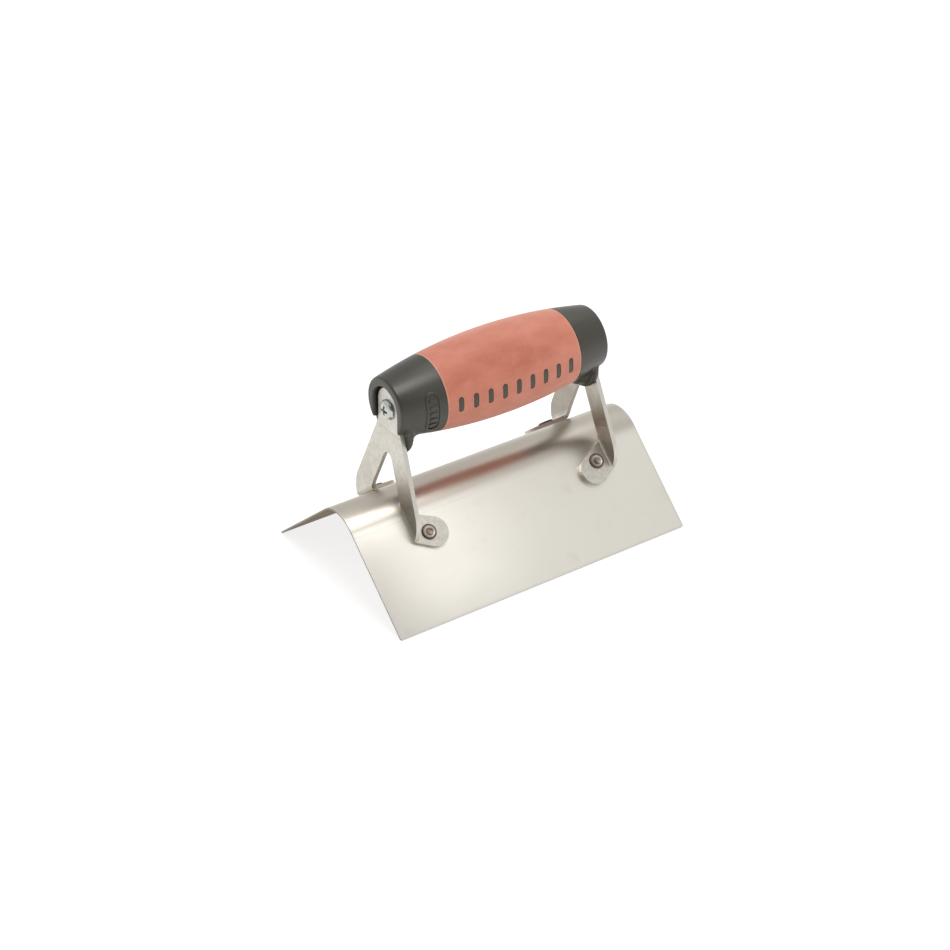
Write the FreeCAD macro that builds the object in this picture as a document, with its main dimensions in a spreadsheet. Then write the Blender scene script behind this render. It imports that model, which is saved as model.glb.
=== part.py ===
import FreeCAD, Part
import math
import os
import re

import Sketcher

# An outside corner trowel: a bent stainless blade, two stamped brackets riveted to it, and a grip handle
# screwed between the brackets.
#
# Millimetres, +Z up. X runs along the ridge of the blade. The origin is under the middle of the ridge, on
# the plane that the blade's lower edges rest on. "Rise" is a distance up the outer face of a blade side,
# from its lower edge. The handle, its brackets and its studs are symmetrical about a plane that stands
# handle_offset along the ridge from the blade's middle, and their sketches measure X from that plane.

SIZES = {
    # Blade: one sheet bent over a round ridge.
    "blade_length": 152.4,
    "blade_sheet": 0.8,
    "side_slope": 41.4,  # degrees, each side from the horizontal
    "side_flat": 51.4,  # flat width of a side, from its lower edge to the bend
    "ridge_radius": 15.8,  # outside of the bend
    "blade_corner": 1.0,
    # Handle: a barrel-shaped moulding with a soft sleeve moulded round its waist.
    "handle_offset": 2.5,
    "handle_height": 82.6,  # axis of the handle above the resting plane
    "handle_length": 108.0,
    "handle_middle_radius": 19.65,
    "handle_end_radius": 13.7,  # half a handle's length from the widest place
    "belly_offset": 2.0,  # from the handle's middle to its widest place, where the sleeve is centred
    "rim_reach": 0.8,  # of the rounded rim, along the barrel
    "rim_drop": 0.9,  # of the rounded rim, across the end
    "rim_radius": 0.9,
    "cap_length": 19.0,  # of the moulding left bare at each end of the sleeve
    "grip_wall": 2.5,
    "grip_edge_round": 0.4,
    "bond_gap": 0.05,  # between the sleeve and the moulding under it
    "recess_radius": 9.2,  # arch in each end, open below
    "recess_depth": 4.0,
    "lug_radius": 13.5,  # disc under each end, flush with the floor of the recess
    "lug_drop": 9.5,
    "lug_thickness": 2.2,
    "lug_round": 0.7,
    "boss_radius": 9.0,  # rounded boss that backs the lug
    "boss_drop": 12.6,
    "boss_depth": 4.0,
    "boss_round": 2.4,
    # Plain marks: a row of bars of the hard moulding that show through the sleeve, and an oval badge.
    "bar_count": 9,
    "bar_margin": 6.2,  # from the sleeve's end to the middle of the nearest bar
    "bar_width": 2.4,
    "bar_height": 7.0,
    "bar_lift": 1.0,
    "badge_inset": 14.4,  # from the end of the handle to the middle of the badge
    "badge_width": 6.6,
    "badge_height": 18.6,
    "badge_rim": 0.8,
    "badge_relief": 0.4,
    "badge_rib_count": 5,
    "badge_rib_pitch": 2.9,
    "badge_rib_width": 3.4,
    "badge_rib_height": 1.3,
    # Brackets: a tang in the recess of the handle, two legs, and a foot folded in from each leg.
    "bracket_sheet": 2.0,
    "tang_radius": 8.0,
    "crease_drop": 12.5,  # bend line below the handle's axis
    "crease_half_width": 9.3,
    "leg_lean": 23.0,  # degrees from the vertical, seen along the ridge
    "leg_kick": 3.1,  # degrees outwards below the crease
    "leg_outer_rise": 36.4,
    "leg_inner_rise": 48.8,
    "hip_height": 14.5,  # round outer edge of the leg, above the blade
    "hip_radius": 15.8,
    "knee_height": 8.2,  # round inner edge of the leg, above the blade
    "knee_radius": 40.0,
    "slot_drop": 23.2,  # top of the slot below the handle's axis
    "slot_radius": 3.2,
    "foot_reach": 8.7,  # from the tang's face to the middle of the foot's round end
    "foot_radius": 6.8,
    "foot_rise": 38.3,
    "fold_radius": 0.8,  # inside of the fold between leg and foot
    # Studs: on the blade, through the feet, each with a rolled head.
    "stud_reach": 6.2,  # from the tang's face to the stud
    "left_stud_rise": 38.9,
    "right_stud_rise": 41.6,
    "stud_radius": 2.2,
    "stud_clearance": 0.1,
    "stud_head_radius": 3.5,
    "stud_head_height": 0.9,
    "stud_lip_radius": 2.2,
    "stud_dimple_radius": 1.6,
    "stud_dimple_depth": 0.5,
    # Screws: pan heads, one a little below the handle's axis at each end.
    "screw_drop": 1.7,
    "screw_radius": 2.1,
    "screw_length": 25.0,
    "screw_tip": 4.0,
    "screw_clearance": 0.3,  # in the tang
    "pilot_gap": 0.05,
    "pilot_extra": 2.0,
    "screw_head_radius": 4.6,
    "screw_head_height": 2.3,
    "screw_head_side": 1.0,
    "cross_span": 4.8,
    "cross_width": 1.1,
    "cross_depth": 1.4,
}

document = FreeCAD.newDocument("corner_trowel")
sheet = document.addObject("Spreadsheet::Sheet", "sizes")
for row, (alias, number) in enumerate(SIZES.items(), start=1):
    sheet.set(f"A{row}", alias)
    sheet.set(f"B{row}", str(number))
    sheet.setAlias(f"B{row}", alias)
document.recompute()


def bound(formula):
    """A formula in the sheet's names, as FreeCAD's expressions read it."""

    def named(word):
        return f"sizes.{word[0]}" if word[0] in SIZES else word[0]

    return re.sub(r"[a-z_]+", named, formula)


def value(formula):
    return float(sheet.evalExpression(bound(formula)))


# Places that several pieces share, as formulas in the sheet's names.
EDGE_HEIGHT = "(blade_sheet * cos(side_slope))"
EDGE_REACH = "(ridge_radius * sin(side_slope) + side_flat * cos(side_slope))"
BEND_CENTRE = f"({EDGE_HEIGHT} + side_flat * sin(side_slope) - ridge_radius * cos(side_slope))"
TANG_FACE = "(handle_length / 2 - recess_depth + bracket_sheet)"
SEAT = "(handle_length / 2 - recess_depth)"
CREASE_HEIGHT = "(handle_height - crease_drop)"
GRIP_LENGTH = "(handle_length - 2 * cap_length)"
BAR_PITCH = f"(({GRIP_LENGTH} - 2 * bar_margin) / (bar_count - 1))"
BADGE_PLACE = "(badge_inset - handle_length / 2)"
BARREL_SAG = "(handle_middle_radius - handle_end_radius)"
BARREL_ARC = f"(((handle_length / 2) ^ 2 + {BARREL_SAG} ^ 2) / (2 * {BARREL_SAG}))"


def reach_at(rise):
    """Distance from the ridge's plane of a point on the outer face of a side."""
    return f"({EDGE_REACH} - ({rise}) * cos(side_slope))"


def height_at(rise):
    return f"({EDGE_HEIGHT} + ({rise}) * sin(side_slope))"


LEG_MIDDLE = (
    f"({TANG_FACE} - bracket_sheet / 2 + ({CREASE_HEIGHT} - {height_at('foot_rise')}) * tan(leg_kick))"
)


def barrel_at(place, lift="0"):
    """Radius of the barrel at a place along its axis, or of a surface lifted off it."""
    reach = f"(({place}) - belly_offset)"
    return f"(handle_middle_radius - {BARREL_ARC} + sqrt(({BARREL_ARC} + {lift}) ^ 2 - {reach} ^ 2))"


def new_body(label):
    body = document.addObject("PartDesign::Body", label)
    body.Label = label
    return body


def origin_plane(body, role):
    return next(feature for feature in body.Origin.OriginFeatures if feature.Role == role)


def new_sketch(body, role, name, across="0", up="0", off="0"):
    """A sketch on one of the body's own planes, moved across and up in the plane and off it."""
    sketch = body.newObject("Sketcher::SketchObject", name)
    sketch.AttachmentSupport = [(origin_plane(body, role), "")]
    sketch.MapMode = "FlatFace"
    for axis, formula in (("x", across), ("y", up), ("z", off)):
        sketch.setExpression(f"AttachmentOffset.Base.{axis}", bound(formula))
    return sketch


def tie(sketch, kind, elements, formula):
    """Add a dimension and tie it to a formula."""
    index = sketch.addConstraint(Sketcher.Constraint(kind, *elements, value(formula)))
    sketch.setExpression(f"Constraints[{index}]", bound(formula))


def tie_point(sketch, geometry, point, across, up):
    tie(sketch, "DistanceX", (-1, 1, geometry, point), across)
    tie(sketch, "DistanceY", (-1, 1, geometry, point), up)


def flat(across, up):
    return FreeCAD.Vector(across, up, 0)


def draw_outline(sketch, corners):
    """A closed outline through corners of (across, up), each with the radius of the side that follows it
    if that side is an arc: positive where it bulges to the left of the way round, negative to the right."""
    points = [flat(value(corner[0]), value(corner[1])) for corner in corners]
    ends = []
    for index, corner in enumerate(corners):
        start = points[index]
        end = points[(index + 1) % len(points)]
        if len(corner) == 2:
            geometry = sketch.addGeometry(Part.LineSegment(start, end))
            ends.append((geometry, 1, 2))
            continue
        radius = value(corner[2])
        chord = end - start
        left = flat(-chord.y, chord.x).normalize()
        depth = math.sqrt(max(radius**2 - chord.Length**2 / 4, 0))
        centre = (start + end) / 2 - left * math.copysign(depth, radius)
        first, last = (end, start) if radius > 0 else (start, end)
        circle = Part.Circle(centre, flat(0, 0) + FreeCAD.Vector(0, 0, 1), abs(radius))
        angles = [math.atan2(point.y - centre.y, point.x - centre.x) for point in (first, last)]
        if angles[1] < angles[0]:
            angles[1] += 2 * math.pi
        geometry = sketch.addGeometry(Part.ArcOfCircle(circle, *angles))
        ends.append((geometry, 2, 1) if radius > 0 else (geometry, 1, 2))
    for index, (geometry, start, end) in enumerate(ends):
        following = ends[(index + 1) % len(ends)]
        sketch.addConstraint(Sketcher.Constraint("Coincident", geometry, end, following[0], following[1]))
        tie_point(sketch, geometry, start, corners[index][0], corners[index][1])
        if len(corners[index]) == 3:
            tie(sketch, "Radius", (geometry,), f"abs({corners[index][2]})")


def draw_surround(sketch):
    """A square well outside the bracket, so that a pocket keeps only what another outline encloses."""
    reach = "(4 * side_flat)"
    back = f"-{reach}"
    draw_outline(sketch, [(back, back), (reach, back), (reach, reach), (back, reach)])


def draw_circle(sketch, across, up, radius):
    centre = flat(value(across), value(up))
    geometry = sketch.addGeometry(Part.Circle(centre, FreeCAD.Vector(0, 0, 1), value(radius)))
    tie_point(sketch, geometry, 3, across, up)
    tie(sketch, "Radius", (geometry,), radius)


def draw_slot(sketch, across, up, width, height):
    """An upright slot with round ends."""
    radius = f"({width} / 2)"
    straight = f"({height} / 2 - {width} / 2)"
    draw_outline(
        sketch,
        [
            (f"{across} - {radius}", f"{up} - {straight}"),
            (f"{across} - {radius}", f"{up} + {straight}", radius),
            (across, f"{up} + {straight} + {radius}", radius),
            (f"{across} + {radius}", f"{up} + {straight}"),
            (f"{across} + {radius}", f"{up} - {straight}", radius),
            (across, f"{up} - {straight} - {radius}", radius),
        ],
    )


def draw_tongue(sketch, root, low, high, centre, rise, radius):
    """A tongue: straight edges from two root points, tangent to a round end."""
    middle = flat(value(centre), value(rise))
    size = value(radius)
    roots = [flat(value(root), value(high)), flat(value(root), value(low))]
    touches = []
    for point, turn in zip(roots, (-1, 1)):
        run = middle - point
        swing = math.atan2(run.y, run.x) + turn * math.asin(size / run.Length)
        length = math.sqrt(run.Length**2 - size**2)
        touches.append(point + flat(math.cos(swing), math.sin(swing)) * length)
    angles = [math.atan2(point.y - middle.y, point.x - middle.x) % (2 * math.pi) for point in touches]
    circle = Part.Circle(middle, FreeCAD.Vector(0, 0, 1), size)
    upper = sketch.addGeometry(Part.LineSegment(roots[0], touches[0]))
    end = sketch.addGeometry(Part.ArcOfCircle(circle, *angles))
    lower = sketch.addGeometry(Part.LineSegment(touches[1], roots[1]))
    back = sketch.addGeometry(Part.LineSegment(roots[1], roots[0]))
    sketch.addConstraint(Sketcher.Constraint("Tangent", upper, 2, end, 1))
    sketch.addConstraint(Sketcher.Constraint("Tangent", end, 2, lower, 1))
    sketch.addConstraint(Sketcher.Constraint("Coincident", lower, 2, back, 1))
    sketch.addConstraint(Sketcher.Constraint("Coincident", back, 2, upper, 1))
    tie_point(sketch, upper, 1, root, high)
    tie_point(sketch, lower, 2, root, low)
    tie_point(sketch, end, 3, centre, rise)
    tie(sketch, "Radius", (end,), radius)


def extrude(body, kind, name, sketch, length, side="One side", reverse=False):
    """A pad, or a pocket whose volume is checked, because one that points away cuts nothing."""
    before = body.Shape.Volume if kind == "Pocket" else None
    feature = body.newObject(f"PartDesign::{kind}", name)
    feature.Profile = sketch
    feature.SideType = side
    feature.Reversed = reverse
    feature.setExpression("Length", bound(length))
    finish(feature, before)
    return feature


def revolve(body, kind, name, sketch):
    """A full turn about the sketch's own horizontal axis."""
    before = body.Shape.Volume if kind == "Groove" else None
    feature = body.newObject(f"PartDesign::{kind}", name)
    feature.Profile = sketch
    feature.ReferenceAxis = (sketch, ["H_Axis"])
    feature.Angle = 360
    finish(feature, before)
    return feature


def finish(feature, before):
    document.recompute()
    if before is not None and feature.Shape.Volume > before - 0.01:
        raise RuntimeError(f"{feature.Name} cuts nothing")


def repeat_along(body, name, features, sketch, pitch, count, axis):
    """Copies of the features at a pitch along a sketch axis."""
    pattern = body.newObject("PartDesign::LinearPattern", name)
    pattern.Originals = features
    pattern.Direction = (sketch, [axis])
    pattern.Occurrences = int(value(count))
    pattern.setExpression("Length", bound(f"{pitch} * ({count} - 1)"))
    pattern.setExpression("Occurrences", bound(count))
    body.Tip = pattern
    document.recompute()


def round_edges(body, name, radius, wanted):
    """Fillet the edges of the body's last feature whose every sample point passes the test."""
    base = body.Tip
    edges = []
    for index, edge in enumerate(base.Shape.Edges, start=1):
        samples = [edge.valueAt(at) for at in (edge.FirstParameter, edge.LastParameter)]
        samples.append(edge.CenterOfMass)
        if all(wanted(point, edge) for point in samples):
            edges.append(f"Edge{index}")
    if not edges:
        raise RuntimeError(f"{name} finds no edge")
    fillet = body.newObject("PartDesign::Fillet", name)
    fillet.Base = (base, edges)
    fillet.setExpression("Radius", bound(radius))
    document.recompute()


def place(body, across="0", deep="0", up="0", turn=0):
    """Stand a body at a place, after a turn about the vertical."""
    body.Placement = FreeCAD.Placement(flat(0, 0), FreeCAD.Rotation(FreeCAD.Vector(0, 0, 1), turn))
    for axis, formula in (("x", across), ("y", deep), ("z", up)):
        body.setExpression(f"Placement.Base.{axis}", bound(formula))


def make_blade():
    body = new_body("blade")
    sketch = new_sketch(body, "YZ_Plane", "blade_section")
    inside = "(ridge_radius - blade_sheet)"
    outer = [(EDGE_REACH, EDGE_HEIGHT), bend_end("ridge_radius")]
    inner = [bend_end(inside), (f"{EDGE_REACH} - blade_sheet * sin(side_slope)", "0")]
    corners = [(f"-{outer[0][0]}", outer[0][1])]
    corners.append((f"-{outer[1][0]}", outer[1][1], "ridge_radius"))
    corners.append(outer[1])
    corners.append(outer[0])
    corners.append(inner[1])
    corners.append((*inner[0], f"-{inside}"))
    corners.append((f"-{inner[0][0]}", inner[0][1]))
    corners.append((f"-({inner[1][0]})", inner[1][1]))
    draw_outline(sketch, corners)
    extrude(body, "Pad", "blade_sheet_pad", sketch, "blade_length", side="Symmetric")
    edge_line = value(EDGE_REACH) - value("blade_sheet")

    def is_corner(point, edge):
        return abs(point.y) > edge_line and edge.Length < 1.5 * value("blade_sheet")

    round_edges(body, "blade_corners", "blade_corner", is_corner)


def bend_end(radius):
    """Where the bend of that radius runs out into the flat of a side."""
    return (f"({radius} * sin(side_slope))", f"({BEND_CENTRE} + {radius} * cos(side_slope))")


def lean_line(height):
    """Half width of the bracket's straight outer edge at a height."""
    return f"(crease_half_width + ({CREASE_HEIGHT} - ({height})) * tan(leg_lean))"


def bracket_outline():
    """Right half of the bracket seen along the ridge, from the top of the tang to the top of the slot."""
    shoulder = f"({CREASE_HEIGHT} + (crease_half_width - tang_radius) / tan(leg_lean))"
    hip = f"({height_at('leg_outer_rise')} + hip_height)"
    knee = f"({height_at('leg_inner_rise')} + knee_height)"
    slot_centre = "(handle_height - slot_drop - slot_radius)"
    slot_edge = f"({slot_centre} + slot_radius / sin(leg_lean))"
    return [
        ("0", "handle_height + tang_radius", "tang_radius"),
        ("tang_radius", "handle_height"),
        ("tang_radius", shoulder),
        (lean_line(hip), hip, "hip_radius"),
        (reach_at("leg_outer_rise"), height_at("leg_outer_rise")),
        (reach_at("leg_inner_rise"), height_at("leg_inner_rise"), "-knee_radius"),
        (f"({slot_edge} - {knee}) * tan(leg_lean)", knee),
        ("slot_radius * cos(leg_lean)", f"{slot_centre} + slot_radius * sin(leg_lean)", "-slot_radius"),
        ("0", "handle_height - slot_drop"),
    ]


def both_halves(half):
    """A closed outline from its right half, whose first and last corners lie on the middle line."""
    corners = list(half[:-1])
    for index in range(len(half) - 1, 0, -1):
        across, up = half[index][:2]
        side_radius = half[index - 1][2:]
        mirrored = across if across == "0" else f"-({across})"
        corners.append((mirrored, up, *side_radius))
    return corners


def make_bracket_outline(side):
    """What the press leaves of the bent strip: the front outline all along, and a tongue on each foot."""
    body = new_body(f"{side}_bracket_outline")
    front = new_sketch(body, "YZ_Plane", f"{side}_front")
    draw_outline(front, both_halves(bracket_outline()))
    extrude(body, "Pad", f"{side}_front_pad", front, "4 * handle_length", side="Symmetric")
    room = new_sketch(body, "XZ_Plane", f"{side}_foot_room")
    kick = f"(({CREASE_HEIGHT} - {height_at('leg_inner_rise')}) * tan(leg_kick))"
    fold_line = f"({TANG_FACE} + {kick} - 1.05 * bracket_sheet - fold_radius)"
    top = f"({height_at('leg_inner_rise')} + 2 * bracket_sheet)"
    back = "(0 - 3 * handle_length)"
    draw_outline(room, [(back, "0"), (fold_line, "0"), (fold_line, top), (back, top)])
    extrude(body, "Pocket", f"{side}_foot_room_cut", room, "4 * side_flat", side="Symmetric")
    tongue = on_side(body, f"{side}_tongue")
    end = f"({TANG_FACE} - foot_reach)"
    high = "(leg_inner_rise + bracket_sheet * tan(side_slope))"
    draw_tongue(tongue, LEG_MIDDLE, "leg_outer_rise", high, end, "foot_rise", "foot_radius")
    tongue_pad = extrude(body, "Pad", f"{side}_tongue_pad", tongue, "bracket_sheet")
    mirror = body.newObject("PartDesign::Mirrored", f"{side}_tongues")
    mirror.Originals = [tongue_pad]
    mirror.MirrorPlane = (origin_plane(body, "XZ_Plane"), [""])
    body.Tip = mirror
    document.recompute()
    return body


def make_bracket(side, turn):
    """A strip bent at the crease and folded in under each leg, then cut to its outline."""
    outline = make_bracket_outline(side)
    body = new_body(f"{side}_bracket")
    strip = new_sketch(body, "XZ_Plane", f"{side}_strip")
    spread = f"({CREASE_HEIGHT} * tan(leg_kick))"
    draw_outline(
        strip,
        [
            (TANG_FACE, "handle_height + 2 * tang_radius"),
            (TANG_FACE, CREASE_HEIGHT),
            (f"{TANG_FACE} + {spread}", "0"),
            (f"{TANG_FACE} + {spread} - bracket_sheet / cos(leg_kick)", "0"),
            (SEAT, f"{CREASE_HEIGHT} - bracket_sheet * tan(leg_kick / 2)"),
            (SEAT, "handle_height + 2 * tang_radius"),
        ],
    )
    extrude(body, "Pad", f"{side}_strip_pad", strip, "side_flat")
    foot = on_side(body, f"{side}_foot")
    far = f"({TANG_FACE} - foot_reach - 1.2 * foot_radius)"
    ridge = f"({EDGE_REACH} / cos(side_slope) + 2 * bracket_sheet)"
    draw_outline(foot, [(far, "0"), (LEG_MIDDLE, "0"), (LEG_MIDDLE, ridge), (far, ridge)])
    extrude(body, "Pad", f"{side}_foot_pad", foot, "bracket_sheet")
    blank = new_sketch(body, "YZ_Plane", f"{side}_blank")
    width = "(0.7 * side_flat)"
    top = "(handle_height + 2 * tang_radius)"
    peak = f"({EDGE_HEIGHT} + {EDGE_REACH} * tan(side_slope))"
    eave = f"({peak} - {width} * tan(side_slope))"
    draw_outline(blank, [("0", peak), ("0", top), (f"-{width}", top), (f"-{width}", eave)])
    draw_surround(blank)
    extrude(body, "Pocket", f"{side}_blank_cut", blank, "4 * handle_length", side="Symmetric")
    round_edges(body, f"{side}_fold_inside", "fold_radius", lambda point, edge: in_fold(point, 1))
    outside = "fold_radius + bracket_sheet"
    round_edges(body, f"{side}_fold_outside", outside, lambda point, edge: in_fold(point, 0))
    mirror = body.newObject("PartDesign::Mirrored", f"{side}_halves")
    mirror.TransformMode = "Whole shape"
    mirror.MirrorPlane = (origin_plane(body, "XZ_Plane"), [""])
    body.Tip = mirror
    document.recompute()
    cut = body.newObject("PartDesign::Boolean", f"{side}_cut_to_outline")
    cut.Type = "Common"
    cut.setObjects([outline])
    document.recompute()
    hole = new_sketch(body, "YZ_Plane", f"{side}_screw_hole")
    draw_circle(hole, "0", "handle_height - screw_drop", "screw_radius + screw_clearance")
    extrude(body, "Pocket", f"{side}_screw_hole_cut", hole, "4 * handle_length", side="Symmetric")
    hole = on_side(body, f"{side}_stud_hole")
    draw_circle(hole, f"{TANG_FACE} - stud_reach", f"{side}_stud_rise", "stud_radius + stud_clearance")
    stud_cut = extrude(body, "Pocket", f"{side}_stud_hole_cut", hole, "4 * bracket_sheet", side="Symmetric")
    mirror = body.newObject("PartDesign::Mirrored", f"{side}_stud_holes")
    mirror.Originals = [stud_cut]
    mirror.MirrorPlane = (origin_plane(body, "XZ_Plane"), [""])
    body.Tip = mirror
    document.recompute()
    place(body, across="handle_offset", turn=turn)


def on_side(body, name):
    """A sketch on the outer face of the blade's front side: across along the ridge, up with the rise."""
    sketch = new_sketch(body, "XY_Plane", name, up=f"-{EDGE_REACH}", off=EDGE_HEIGHT)
    tilt = FreeCAD.Rotation(FreeCAD.Vector(1, 0, 0), value("side_slope"))
    sketch.AttachmentOffset = FreeCAD.Placement(sketch.AttachmentOffset.Base, tilt)
    sketch.setExpression("AttachmentOffset.Rotation.Angle", bound("side_slope"))
    return sketch


def in_fold(point, sheets):
    """Whether a point is on the line where a leg and its foot meet, on the face that many sheets in."""
    slope = math.radians(value("side_slope"))
    lift = (abs(point.y) - value(EDGE_REACH)) * math.sin(slope)
    lift += (point.z - value(EDGE_HEIGHT)) * math.cos(slope)
    kick = math.radians(value("leg_kick"))
    face = value(TANG_FACE) + (value(CREASE_HEIGHT) - point.z) * math.tan(kick)
    depth = (face - point.x) * math.cos(kick)
    thickness = value("bracket_sheet") * sheets
    return abs(lift - thickness) < 0.01 and abs(depth - thickness) < 0.01


def make_stud(side, face):
    """A stud with a rolled head: a plain disc on the blade, a shank in the foot, and a dimpled head."""
    body = new_body(f"{side}_{face}_stud")
    sketch = new_sketch(body, "XZ_Plane", f"{side}_{face}_stud_section")
    top = "(bracket_sheet + stud_head_height)"
    crown = "((stud_head_radius + stud_lip_radius) / 2)"
    roll = "((stud_head_radius - stud_lip_radius) / 2)"
    dimple = f"({top} - stud_dimple_depth)"
    draw_outline(
        sketch,
        [
            ("0", "0"),
            ("0", "stud_radius"),
            ("bracket_sheet", "stud_radius"),
            ("bracket_sheet", "stud_head_radius"),
            (f"{top} - {roll}", "stud_head_radius", roll),
            (top, crown, f"{roll} * 2"),
            (dimple, "stud_dimple_radius"),
            (dimple, "0"),
        ],
    )
    revolve(body, "Revolution", f"{side}_{face}_stud_turned", sketch)
    away = 1 if side == "right" else -1
    outwards = -1 if face == "front" else 1
    rise = f"{side}_stud_rise"
    slope = value("side_slope")
    normal = FreeCAD.Rotation(FreeCAD.Vector(-outwards, 0, 0), slope)
    stand = FreeCAD.Rotation(FreeCAD.Vector(0, 1, 0), -90)
    place(
        body,
        across=f"handle_offset + {away} * ({TANG_FACE} - stud_reach)",
        deep=f"{outwards} * {reach_at(rise)}",
        up=height_at(rise),
    )
    body.Placement.Rotation = normal.multiply(stand)


def make_screw(side, turn):
    """A pan-head screw, drawn with its head's underside at the origin and its head outwards along X."""
    body = new_body(f"{side}_screw")
    sketch = new_sketch(body, "XZ_Plane", f"{side}_screw_section")
    dome = "(screw_head_height - screw_head_side)"
    flat_top = "(screw_head_radius * 0.5)"
    draw_outline(
        sketch,
        [
            ("-screw_length", "0"),
            ("screw_tip - screw_length", "screw_radius"),
            ("0", "screw_radius"),
            ("0", "screw_head_radius"),
            ("screw_head_side", "screw_head_radius", f"{dome} * 2.6"),
            ("screw_head_height", flat_top),
            ("screw_head_height", "0"),
        ],
    )
    revolve(body, "Revolution", f"{side}_screw_turned", sketch)
    cross = new_sketch(body, "YZ_Plane", f"{side}_cross", off="screw_head_height - cross_depth")
    arm = "(cross_span / 2)"
    half = "(cross_width / 2)"
    quarter = [(half, half), (half, arm), (f"-{half}", arm), (f"-{half}", half)]
    quarter += [(f"-{arm}", half), (f"-{arm}", f"-{half}"), (f"-{half}", f"-{half}")]
    quarter += [(f"-{half}", f"-{arm}"), (half, f"-{arm}"), (half, f"-{half}")]
    quarter += [(arm, f"-{half}"), (arm, half)]
    draw_outline(cross, quarter)
    extrude(body, "Pocket", f"{side}_cross_cut", cross, "screw_head_height", reverse=True)
    away = 1 if side == "right" else -1
    across = f"handle_offset + {away} * {TANG_FACE}"
    place(body, across=across, up="handle_height - screw_drop", turn=turn)


def draw_barrel_band(sketch, half_length, low, high):
    """Half section of a band about the widest place, between two surfaces lifted off the barrel's own."""
    left = f"(belly_offset - {half_length})"
    right = f"(belly_offset + {half_length})"
    draw_outline(
        sketch,
        [
            (left, barrel_at(left, low), f"{BARREL_ARC} + {low}"),
            (right, barrel_at(right, low)),
            (right, barrel_at(right, high), f"-({BARREL_ARC} + {high})"),
            (left, barrel_at(left, high)),
        ],
    )


def draw_bar(sketch, grow="0"):
    """The first bar of the row, or a hole that clears it all round."""
    across = f"(belly_offset - {BAR_PITCH} * (bar_count - 1) / 2)"
    draw_slot(sketch, across, "bar_lift", f"(bar_width + 2 * {grow})", f"(bar_height + 2 * {grow})")


def add_disc(body, name, sign, drop, radius, start, length, rounding):
    """A disc under one end of the handle, with its axis along X and its inner rim rounded."""
    sketch = new_sketch(body, "XZ_Plane", f"{name}_section", up=f"-{drop}")
    outer = f"{sign} * {start}"
    inner = f"{sign} * ({start} - {length})"
    curve = rounding if sign < 0 else f"-{rounding}"
    draw_outline(
        sketch,
        [
            (outer, "0"),
            (outer, radius),
            (f"{sign} * ({start} - {length} + {rounding})", radius, f"-({curve})"),
            (inner, f"{radius} - {rounding}"),
            (inner, "0"),
        ],
    )
    revolve(body, "Revolution", name, sketch)


def make_handle_core():
    body = new_body("handle_core")
    sketch = new_sketch(body, "XZ_Plane", "barrel_section")
    half = "(handle_length / 2)"
    side = f"({half} - rim_reach)"
    left_radius = barrel_at(f"-{side}")
    right_radius = barrel_at(side)
    draw_outline(
        sketch,
        [
            (f"-{half}", "0"),
            (f"-{half}", f"{left_radius} - rim_drop", "rim_radius"),
            (f"-{side}", left_radius, BARREL_ARC),
            (side, right_radius, "rim_radius"),
            (half, f"{right_radius} - rim_drop"),
            (half, "0"),
        ],
    )
    revolve(body, "Revolution", "barrel", sketch)
    waist = new_sketch(body, "XZ_Plane", "waist_section")
    draw_barrel_band(waist, f"({GRIP_LENGTH} / 2 + bond_gap)", "(0 - grip_wall - bond_gap)", "grip_wall")
    revolve(body, "Groove", "waist", waist)
    bar = new_sketch(body, "XZ_Plane", "bar_outline")
    draw_bar(bar)
    first_bar = extrude(body, "Pad", "first_bar", bar, "handle_middle_radius + grip_wall")
    repeat_along(body, "bars", [first_bar], bar, BAR_PITCH, "bar_count", "H_Axis")
    trim = new_sketch(body, "XZ_Plane", "bar_trim_section")
    draw_barrel_band(trim, f"({GRIP_LENGTH} / 2)", "0", "(2 * grip_wall)")
    revolve(body, "Groove", "bar_trim", trim)
    add_badge(body)

    for side, sign in (("left", -1), ("right", 1)):
        boss_start = "(handle_length / 2 - recess_depth - lug_thickness / 2)"
        add_disc(body, f"{side}_lug", sign, "lug_drop", "lug_radius", SEAT, "lug_thickness", "lug_round")
        reach = "(boss_depth + lug_thickness / 2)"
        add_disc(body, f"{side}_boss", sign, "boss_drop", "boss_radius", boss_start, reach, "boss_round")
        recess = new_sketch(body, "YZ_Plane", f"{side}_recess_outline", off=f"{sign} * {SEAT}")
        bottom = "(0 - 2 * lug_radius)"
        draw_outline(
            recess,
            [
                ("-recess_radius", bottom),
                ("-recess_radius", "0", "recess_radius"),
                ("0", "recess_radius", "recess_radius"),
                ("recess_radius", "0"),
                ("recess_radius", bottom),
            ],
        )
        extrude(body, "Pocket", f"{side}_recess", recess, "2 * recess_depth", reverse=sign > 0)
        pilot = new_sketch(body, "XZ_Plane", f"{side}_pilot_section", up="-screw_drop")
        mouth = f"({sign} * handle_length / 2)"
        bottom = f"({sign} * ({SEAT} + bracket_sheet - screw_length - pilot_extra))"
        bore = "(screw_radius + pilot_gap)"
        draw_outline(pilot, [(bottom, "0"), (bottom, bore), (mouth, bore), (mouth, "0")])
        revolve(body, "Groove", f"{side}_pilot", pilot)
    place(body, across="handle_offset", up="handle_height")


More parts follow.
